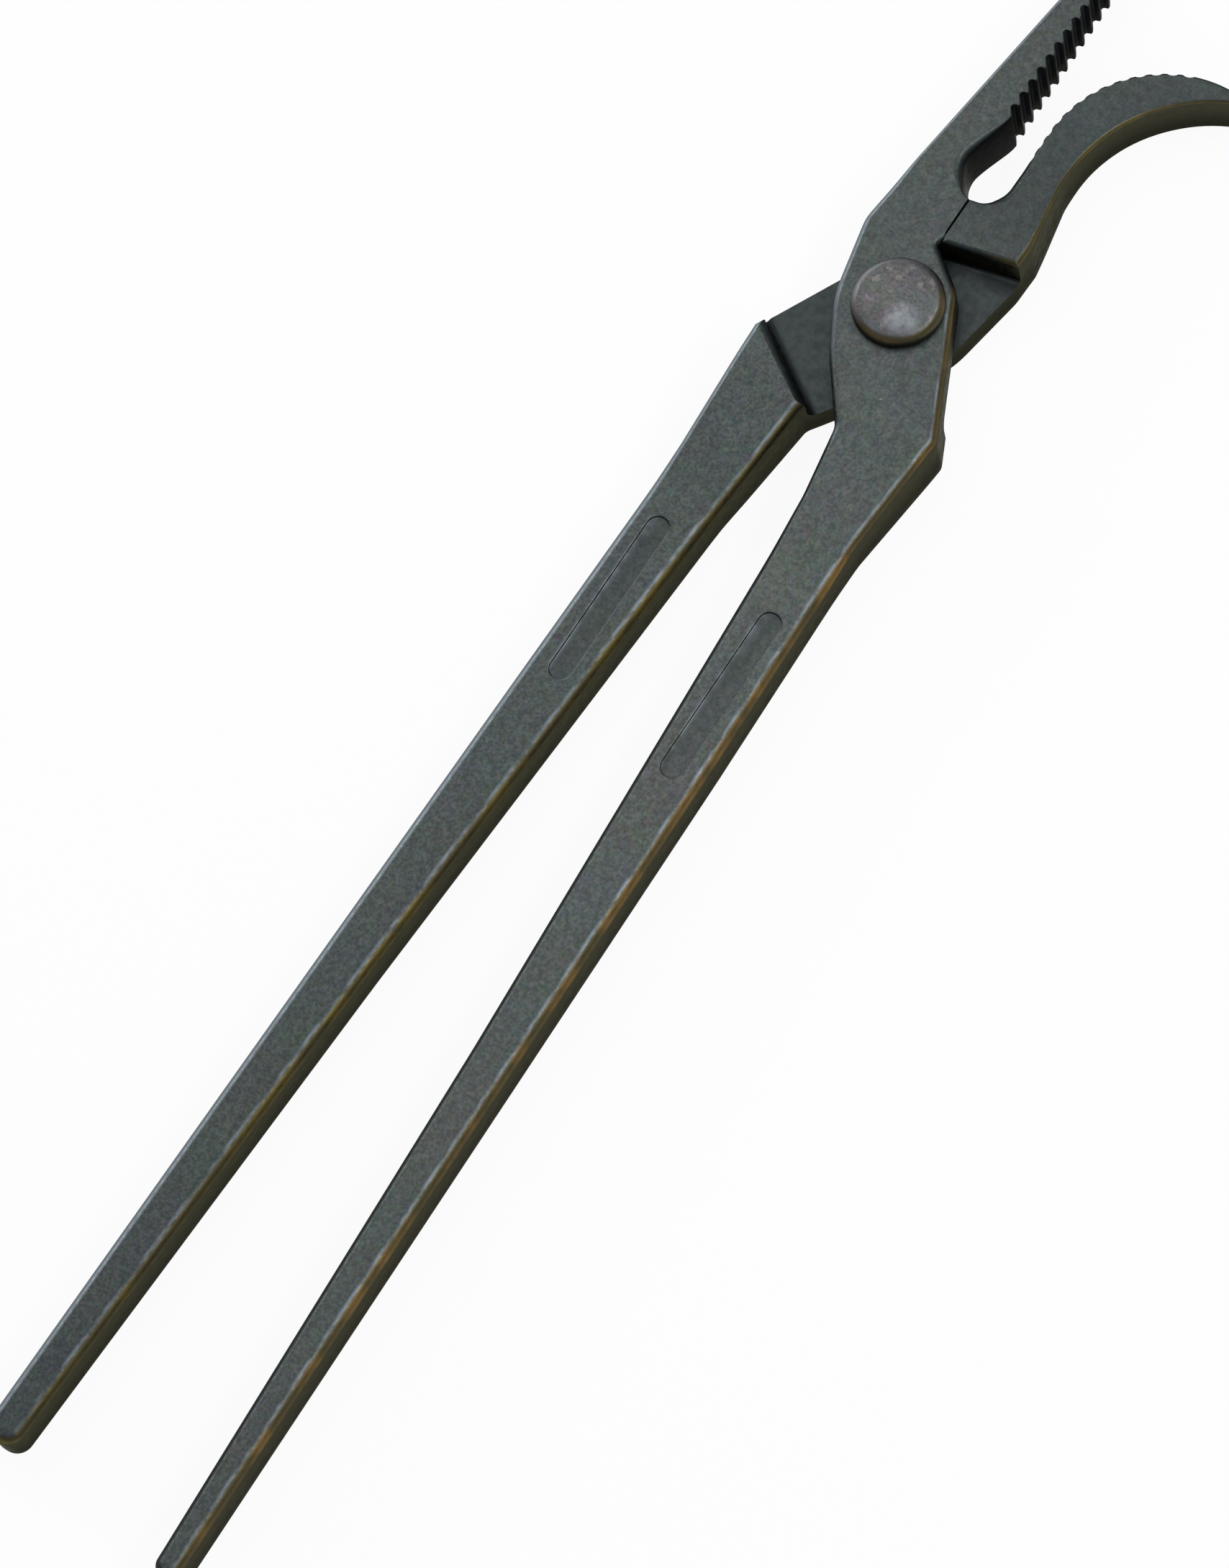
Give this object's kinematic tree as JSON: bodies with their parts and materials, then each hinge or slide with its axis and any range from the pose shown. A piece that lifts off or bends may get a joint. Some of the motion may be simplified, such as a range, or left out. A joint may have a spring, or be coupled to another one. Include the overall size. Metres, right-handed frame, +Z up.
{
  "type": "hoof clincher",
  "caption": "Farrier's hoof clincher: two lap-jointed drop-forged levers on a domed rivet, a straight saw-toothed jaw and a toothed goose-neck jaw.",
  "frame": {"origin": "where the pivot axis meets the plane that the tool rests on, under the boss", "axes": "+Y along the closed tool from handles to jaws, +Z up along the rivet to its domed head, +X towards the front lever's handle"},
  "size_m": [0.0577, 0.361, 0.0188],
  "materials": {
    "front_lever_steel": "dark oxide on a drop-forged surface, edges rubbed",
    "rear_lever_steel": "dark oxide on a drop-forged surface, edges rubbed",
    "rivet_steel": "dark oxide, worn on the crown"
  },
  "bodies": {
    "rear_lever_body": {"rear_lever": "rear_lever_steel", "pivot_rivet": "rivet_steel"},
    "front_lever_body": {"front_lever": "front_lever_steel"}
  },
  "joints": [
    {"name": "jaw_pivot", "type": "hinge", "parent": "rear_lever_body", "child": "front_lever_body", "pos_m": [0, 0, 0.0075], "axis": [0, 0, 1], "range_deg": [0, 45]}
  ]
}
